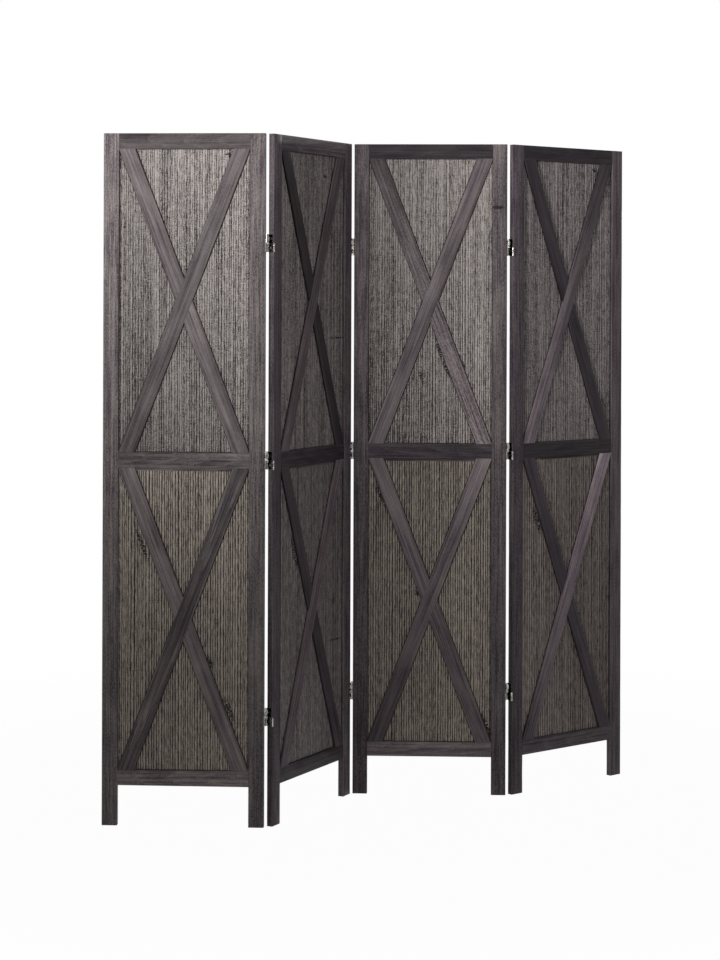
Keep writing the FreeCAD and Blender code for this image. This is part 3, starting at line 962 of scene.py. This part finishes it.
@dataclass
class Panel:
    """One panel: two stiles, three rails, two boards and a cross of braces on each board.

    Stiles come as left and right, rails from the top down, and boards and braces as upper and lower.
    """

    number: int
    stile_stains: tuple[Stain, Stain]
    rail_stains: tuple[Stain, Stain, Stain]
    long_stains: tuple[Stain, Stain]
    short_stains: tuple[Stain, Stain]
    board_tones: tuple[Vector, Vector]
    board_marks: tuple[tuple[Mark, ...], tuple[Mark, ...]]
    coolness: float = 0.0
    # Stile fades make the stiles paler towards the top: painted light, adding to the lamp's fall-off down
    # the screen.
    stile_fades: Pair = (0.0, 0.0)
    stile_knots: tuple[Mark, Mark] = (NO_MARK, NO_MARK)
    board_leans: tuple[Pair, Pair] = ((0.0, 0.0), (0.0, 0.0))
    board_reliefs: tuple[Pair, Pair] = ((0.72, 0.0), (0.95, 0.0))
    board_speckles: Pair = (2.0, 1.0)
    board_unevenness: Pair = (0.45, 0.18)
    long_cuts: tuple[Sawn, Sawn] = (Sawn.QUARTER, Sawn.QUARTER)
    long_fades: Pair = (0.0, 0.0)
    short_fades: Pair = (0.0, 0.0)
    short_speckles: Pair = (0.4, 0.4)
    long_speckle: float = 0.55
    stile_speckle: float = 1.4
    height: float = 1700 * MM
    width: float = 400 * MM
    thickness: float = 15 * MM
    stile_width: float = 38 * MM
    rail_height: float = 38 * MM
    leg_height: float = 99 * MM
    upper_opening: float = 745 * MM
    lower_opening: float = 742 * MM
    board_thickness: float = 5 * MM
    board_tongue: float = 7.4 * MM
    brace_width: float = 38 * MM
    brace_softening: float = 0.8 * MM

    @property
    def body(self) -> str:
        """The body that the panel's pieces ride on."""
        return f"panel_{self.number}"

    @property
    def opening_width(self) -> float:
        """The clear width between the stiles."""
        return self.width - 2 * self.stile_width

    @property
    def recess(self) -> float:
        """How deep the boards lie behind the frame's face."""
        return (self.thickness - self.board_thickness) / 2

    def place(self) -> Matrix:
        """Finds the panel's place from the middles of its two feet.

        Returns:
            The step from the panel's front, left, low corner to the row frame.
        """
        feet = {mount["name"]: Vector(mount["pos_m"]) for mount in frame["record"]["mounts"]}
        left = feet[f"{self.body}_left_foot"]
        right = feet[f"{self.body}_right_foot"]
        turn = math.atan2(right.y - left.y, right.x - left.x)
        corner = Vector((-self.stile_width / 2, -self.thickness / 2, 0.0))
        return Matrix.Translation(left) @ Matrix.Rotation(turn, 4, "Z") @ Matrix.Translation(corner)

    def facing(self) -> Triple:
        """The direction across the panel, square to its hinge plates."""
        return tuple(self.place().to_3x3() @ Vector((1.0, 0.0, 0.0)))

    def seed(self, step: int) -> int:
        """A seed of the panel's own for one of its pieces."""
        return self.number * PANEL_SEED + step

    def opening(self, part: Field) -> Pair:
        """The low and the high edge of an opening.

        Args:
            part: Which opening.

        Returns:
            The two heights above the floor.
        """
        low = self.leg_height + self.rail_height
        if part is Field.LOWER:
            return low, low + self.lower_opening
        low += self.lower_opening + self.rail_height
        return low, low + self.upper_opening

    def brace_tilt(self, part: Field) -> float:
        """The lean of a brace whose edges run into the opening's corners.

        Args:
            part: Which opening.

        Returns:
            The angle from upright, in radians.
        """
        low, high = self.opening(part)
        reach = math.hypot(self.opening_width, high - low)
        return math.acos(self.brace_width / reach) - math.atan2(high - low, self.opening_width)

    def add(self, name: str, slot: str, finish: Material, meshes: list[Mesh]) -> None:
        """Turns meshes into one piece that stands for a node of the panel.

        Args:
            name: The node's name after the panel's own.
            slot: The record's slot for the piece; not used.
            finish: The piece's material.
            meshes: The meshes of the piece, in the row frame.
        """
        whole = bmesh.new()
        for mesh in meshes:
            passing = bpy.data.meshes.new("passing")
            mesh.to_mesh(passing)
            mesh.free()
            whole.from_mesh(passing)
            bpy.data.meshes.remove(passing)
        node = f"{self.body}_{name}"
        data = bpy.data.meshes.new(f"{node}_wood")
        whole.to_mesh(data)
        whole.free()
        data.set_sharp_from_angle(angle=SHARP_ANGLE)
        data.materials.append(finish)
        piece = bpy.data.objects.new(f"{node}_wood", data)
        bpy.context.scene.collection.objects.link(piece)
        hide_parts(node)
        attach(piece, self.body)
        log.info("%s: %d faces", piece.name, len(data.polygons))

    def build_stiles(self, finish: Material) -> None:
        """Makes the two uprights, which run down into the feet.

        Args:
            finish: The wood's material.
        """
        middle = self.height / 2
        reach = self.board_tongue
        for step, (side, stain) in enumerate(zip(Side, self.stile_stains)):
            grooves = []
            for part in Field:
                low, high = self.opening(part)
                grooves.append(Groove(side.value, low - reach - middle, high + reach - middle))
            across = self.width / 2 - side.value * (self.width - self.stile_width) / 2
            spot = Matrix.Translation((across, self.thickness / 2, middle))
            stick = Stick(
                self.stile_width, self.thickness, self.height, self.place() @ spot, Sawn.QUARTER, stain,
                self.seed(STILE_SEED + step), tuple(grooves), soft_ends=True, speckle=self.stile_speckle,
                fade=self.stile_fades[step], coolness=self.coolness, knot=self.stile_knots[step],
            )
            self.add(f"{side.name.lower()}_stile", "frame_wood", finish, [stick.made()])

    def build_rails(self, finish: Material) -> None:
        """Makes the top, middle and bottom rails between the stiles.

        Args:
            finish: The wood's material.
        """
        half = self.rail_height / 2
        reach = self.opening_width / 2
        lower, upper = self.opening(Field.LOWER), self.opening(Field.UPPER)
        below = Groove(1.0, -reach, reach)
        above = Groove(-1.0, -reach, reach)
        rails = (
            ("top", upper[1] + half, (below,)),
            ("middle", upper[0] - half, (below, above)),
            ("bottom", lower[0] - half, (above,)),
        )
        for step, (name, level, grooves) in enumerate(rails):
            spot = Matrix.Translation((self.width / 2, self.thickness / 2, level))
            spot = spot @ Matrix.Rotation(math.pi / 2, 4, "Y")
            stick = Stick(
                self.rail_height, self.thickness, self.opening_width, self.place() @ spot, Sawn.FLAT,
                self.rail_stains[step], self.seed(RAIL_SEED + step), grooves, coolness=self.coolness,
            )
            self.add(f"{name}_rail", "frame_wood", finish, [stick.made()])

    def build_boards(self, finish: Material) -> None:
        """Makes the two boards, with their tongues in the frame's grooves.

        Args:
            finish: The board's material.
        """
        for step, part in enumerate(Field):
            low, high = self.opening(part)
            spot = Matrix.Translation((self.width / 2, self.thickness / 2, (low + high) / 2))
            board = Board(
                self.opening_width + 2 * self.board_tongue, self.board_thickness,
                high - low + 2 * self.board_tongue, self.place() @ spot, self.board_tones[step],
                self.seed(BOARD_SEED + step), self.board_marks[step], self.board_leans[step],
                self.board_reliefs[step], self.board_speckles[step], self.board_unevenness[step],
                self.board_tongue, self.brace_tilt(part), self.brace_width,
            )
            self.add(f"{part.value}_board", "board_wood", finish, [board.made()])

    def brace(self, part: Field, turn: float, cuts: tuple[Trim, ...], **looks: object) -> Mesh:
        """Makes one brace, cut level with the opening's low and high edges.

        Args:
            part: The opening that it crosses.
            turn: Its lean from upright, in radians.
            cuts: What else is sawn off it.
            looks: The stick's cut, stain, seed, speckle and fade.

        Returns:
            The brace's mesh in the row frame.
        """
        low, high = self.opening(part)
        upright = Matrix.Rotation(turn, 3, "Y").inverted()
        ends = []
        for way in (1.0, -1.0):
            end = Vector((0, 0, way * (high - low) / 2))
            ends.append(Trim(upright @ end, upright @ Vector((0, 0, way))))
        centre = Matrix.Translation((self.width / 2, self.recess / 2, (low + high) / 2))
        spot = centre @ Matrix.Rotation(turn, 4, "Y")
        reach = math.hypot(self.opening_width, high - low)
        stick = Stick(
            self.brace_width, self.recess, reach, self.place() @ spot, trims=(*ends, *cuts),
            coolness=self.coolness, softening=self.brace_softening, **looks,
        )
        return stick.made()

    def build_braces(self, finish: Material) -> None:
        """Makes the crossed braces: one long, and one in two halves that meet its sides.

        Args:
            finish: The wood's material.
        """
        for step, part in enumerate(Field):
            tilt = self.brace_tilt(part)
            whole = self.brace(
                part, tilt, (), sawn=self.long_cuts[step], stain=self.long_stains[step],
                seed=self.seed(LONG_SEED + step), speckle=self.long_speckle, fade=self.long_fades[step],
            )
            self.add(f"{part.value}_long_brace", "brace_wood", finish, [whole])
            upright = Matrix.Rotation(-tilt, 3, "Y").inverted()
            across = upright @ (Matrix.Rotation(tilt, 3, "Y") @ Vector((1, 0, 0)))
            halves = []
            for turn, way in enumerate((1.0, -1.0)):
                cut = Trim(across * way * self.brace_width / 2, across * -way)
                half = self.brace(
                    part, -tilt, (cut,), sawn=Sawn.QUARTER, stain=self.short_stains[step],
                    seed=self.seed(SHORT_SEED + 2 * step + turn), speckle=self.short_speckles[step],
                    fade=self.short_fades[step],
                )
                halves.append(half)
            self.add(f"{part.value}_short_braces", "brace_wood", finish, halves)


@dataclass
class Hinges:
    """The blackened steel hinges of one panel, whose shapes come from the frame as they are."""

    number: int
    facing: Triple

    def finishes(self) -> dict[str, BurnishedSteel]:
        """Chooses the steel of each kind of piece.

        Returns:
            The finish for each kind.
        """
        return {
            "leaves": BurnishedSteel(
                "blackened_steel_leaf", "#262423", "#121111", "#c8c4be", 0.3, self.facing, 0.85,
            ),
            "links": BurnishedSteel(
                "blackened_steel_link", "#4a4744", "#1f1d1c", "#a5a19b", 0.22, self.facing, 0.95,
            ),
            "pins": BurnishedSteel("polished_steel_pin", "#dad6cf", "#8c8882", "#efece6", 0.2),
            "screws": BurnishedSteel("blackened_steel_screw", "#3d3b3a", "#1d1c1c", "#b9b5ae", 0.34),
        }

    def dress(self) -> None:
        """Gives the leaves, links, pins and screws their finishes."""
        for kind, finish in self.finishes().items():
            name = f"panel_{self.number}_hinge_{kind}"
            material = finish.material()
            for slot in frame["nodes"][name].material_slots:
                slot.material = material
            log.info("%s: %s", name, material.name)


@dataclass
class Studio:
    """A white room with one lamp at the front left, one behind, and the camera."""

    floor_half: float = 4.0
    white_from: float = 0.9
    white_at: float = 2.6
    floor_white: float = 0.975
    floor_colour: str = "#e7e7e6"
    glow_colour: str = "#ffffff"
    floor_bounce: float = 0.22
    bounce_from: float = 0.4
    bounce_to: float = 1.4
    ambient: float = 0.26
    lamp_aim: Triple = (0.0, -0.15, 2.1)
    front_spot: Triple = (-2.25, -4.05, 1.75)
    back_spot: Triple = (2.25, 3.75, 1.75)
    lamp_power: float = 11.5
    lamp_side: float = 0.45
    lamp_beam: float = 45.0
    camera_spot: Triple = (0.0522, -5.5806, 1.2981)
    camera_roll: float = 0.194
    focal_pixels: float = 2154.8
    sight_pixel: Pair = (396.3, 297.8)
    image_width: int = 720
    image_height: int = 960

    def build_floor(self) -> None:
        """Lays a pale floor that turns to plain white away from the screen."""
        mesh = bmesh.new()
        bmesh.ops.create_grid(mesh, x_segments=8, y_segments=8, size=self.floor_half)
        data = bpy.data.meshes.new("studio_floor")
        mesh.to_mesh(data)
        mesh.free()
        floor = bpy.data.objects.new("studio_floor", data)
        bpy.context.scene.collection.objects.link(floor)
        # Matt painted floor: it takes a faint shadow, and is white to the eye and to metal; near the screen
        # it glows for the other rays, a stand-in for light bounced off the floor.
        material, tree = new_material("matt_white_floor")
        place = add_node(tree, "TexCoord", {}, {}, "Object")
        away = add_node(tree, "VectorMath", {"operation": "LENGTH"}, {0: place}, "Value")
        white = add_node(
            tree, "MapRange", SMOOTH,
            {
                "Value": away, "From Min": self.white_from, "From Max": self.white_at,
                "To Min": self.floor_white, "To Max": 1.0,
            },
        )
        bounce = add_node(
            tree, "MapRange", SMOOTH,
            {
                "Value": away, "From Min": self.bounce_from, "From Max": self.bounce_to,
                "To Min": self.floor_bounce, "To Max": 0.0,
            },
        )
        seen = self.seen_share(tree)
        share = add_node(tree, "Mix", {"data_type": "FLOAT"}, {0: seen, 2: bounce, 3: white})
        matt = add_node(tree, "BsdfDiffuse", {}, {"Color": linear(self.floor_colour)})
        glow = add_node(tree, "Emission", {}, {"Color": linear(self.glow_colour), "Strength": 1.0})
        surface = add_node(tree, "MixShader", {}, {0: share, 1: matt, 2: glow})
        add_node(tree, "OutputMaterial", {}, {"Surface": surface})
        data.materials.append(material)

    def seen_share(self, tree: Tree) -> Socket:
        """Tells the rays that show a background from those that carry light.

        Args:
            tree: The tree that asks.

        Returns:
            One for camera, glossy and transmission rays, and zero for the others.
        """
        path = add_node(tree, "LightPath").node.outputs
        seen = path["Is Camera Ray"]
        for name in ("Is Glossy Ray", "Is Transmission Ray"):
            seen = add_node(tree, "Math", {"operation": "MAXIMUM"}, {0: seen, 1: path[name]})
        return seen

    def build_room(self) -> None:
        """Sets a world that looks white and gives a little even light."""
        world = bpy.data.worlds.new("white_room")
        bpy.context.scene.world = world
        world.use_nodes = True
        tree = world.node_tree
        tree.nodes.clear()
        seen = self.seen_share(tree)
        strength = add_node(tree, "MapRange", {}, {"Value": seen, "To Min": self.ambient})
        look = {"Color": linear(self.glow_colour), "Strength": strength}
        add_node(tree, "OutputWorld", {}, {"Surface": add_node(tree, "Background", {}, look)})

    def hang_lamp(self, name: str, spot: Triple) -> None:
        """Hangs one square lamp whose narrow beam falls on the upper half of the screen.

        Args:
            name: The lamp's name.
            spot: Where it hangs.
        """
        lamp = bpy.data.lights.new(name, "AREA")
        lamp.energy = self.lamp_power
        lamp.size = self.lamp_side
        lamp.spread = math.radians(self.lamp_beam)
        holder = bpy.data.objects.new(name, lamp)
        holder.location = spot
        holder.rotation_euler = (Vector(self.lamp_aim) - Vector(spot)).to_track_quat("-Z", "Y").to_euler()
        bpy.context.scene.collection.objects.link(holder)

    def set_camera(self) -> None:
        """Sets the camera level in front of the screen, with its frame shifted down."""
        camera = bpy.data.cameras.new("camera")
        longest = max(self.image_width, self.image_height)
        camera.lens = self.focal_pixels * camera.sensor_width / longest
        camera.shift_x = (self.image_width / 2 - self.sight_pixel[0]) / longest
        camera.shift_y = (self.sight_pixel[1] - self.image_height / 2) / longest
        holder = bpy.data.objects.new("camera", camera)
        level = Matrix.Rotation(math.pi / 2, 4, "X")
        roll = Matrix.Rotation(math.radians(self.camera_roll), 4, "Z")
        holder.matrix_world = Matrix.Translation(self.camera_spot) @ level @ roll
        bpy.context.scene.collection.objects.link(holder)
        bpy.context.scene.camera = holder

    def build(self) -> None:
        """Builds the whole room."""
        self.build_floor()
        self.build_room()
        self.hang_lamp("front_lamp", self.front_spot)
        self.hang_lamp("back_lamp", self.back_spot)
        self.set_camera()
        bpy.context.scene.view_settings.view_transform = "Standard"


UPPER_TONE = Vector((1.0, 1.0, 1.0))
UPPER_COOL = Vector((1.0, 0.98, 1.03))
LOWER_TONE = Vector((0.95, 0.92, 0.83))
LOWER_COOL = Vector((0.93, 0.88, 0.85))


def panels() -> list[Panel]:
    """Lists the four panels with the tones and marks that set them apart.

    Returns:
        The panels from left to right.
    """
    bare, washed, pale, even, smoked, dark, sooty, black = Stain
    return [
        Panel(
            1, (washed, pale), (smoked, pale, washed), (pale, even), (washed, washed),
            (UPPER_TONE * 0.965, LOWER_TONE * 1.28),
            (
                (Mark(109, 357, 12, 8),),
                (Mark(-104, 186, 8, 60), Mark(114, -220, 8, 42), Mark(66, -105, 7, 22)),
            ),
            stile_fades=(0.28, 0.1), board_leans=((0.1, 0.08), (0.0, 0.06)),
            board_reliefs=((0.68, -0.1), (0.92, 0.05)), long_cuts=(Sawn.QUARTER, Sawn.ARCHED),
            long_fades=(0.1, -0.1),
        ),
        Panel(
            2, (smoked, even), (pale, sooty, sooty), (even, pale), (black, dark),
            (UPPER_COOL * 1.04, UPPER_COOL * 0.855),
            (
                (Mark(65, 318, 12, 8), Mark(125, -95, 45, 4)),
                (Mark(-87, 155, 12, 60), Mark(125, -93, 45, 4)),
            ),
            coolness=0.8, stile_fades=(0.17, 0.12), board_leans=((-0.1, 0.05), (-0.12, 0.0)),
            long_fades=(-0.2, 0.1), short_fades=(-0.15, 0.0),
        ),
        Panel(
            3, (smoked, even), (black, dark, washed), (pale, pale), (pale, pale),
            (UPPER_TONE * 0.85, LOWER_TONE * 1.05),
            (
                # The upper board's marks copy dark lines and spots by the short brace's edges: painted
                # shadow beside the brace.
                (Mark(33, -150, 9, 75), Mark(-23, -200, 6, 26), Mark(83, -157, 5, 24)),
                (Mark(-125, 270, 11, 45), Mark(-34, 17, 9, 9), Mark(151, -328, 8, 36)),
            ),
            coolness=0.35, stile_fades=(0.1, 0.1), stile_knots=(NO_MARK, Mark(-6, 685, 22, 6)),
            # Panel 3's boards grow paler to the right: painted shade of panel 2, which stands in front of
            # their left side.
            board_leans=((0.32, -0.08), (0.18, -0.15)), board_reliefs=((0.72, -0.25), (0.95, 0.1)),
            long_fades=(0.0, 0.5), short_fades=(-0.6, -0.1), short_speckles=(1.5, 0.4),
        ),
        Panel(
            4, (smoked, even), (black, black, smoked), (pale, bare), (sooty, dark),
            (UPPER_COOL * 0.95, LOWER_COOL * 0.97),
            ((Mark(99, 355, 12, 8),), (Mark(-108, 202, 12, 48),)),
            coolness=0.8, stile_fades=(0.3, 0.1), board_leans=((0.06, 0.05), (-0.2, 0.0)),
            long_fades=(-0.7, 0.6),
        ),
    ]


def main() -> None:
    """Builds the panels, dresses the hinges and sets up the room."""
    logging.basicConfig(level=logging.INFO, format="%(name)s: %(message)s")
    wood = StainedWood().material()
    board = BrushedBoard().material()
    for panel in panels():
        panel.build_stiles(wood)
        panel.build_rails(wood)
        panel.build_boards(board)
        panel.build_braces(wood)
        Hinges(panel.number, panel.facing()).dress()
    Studio().build()


if __name__ == "__main__":
    main()
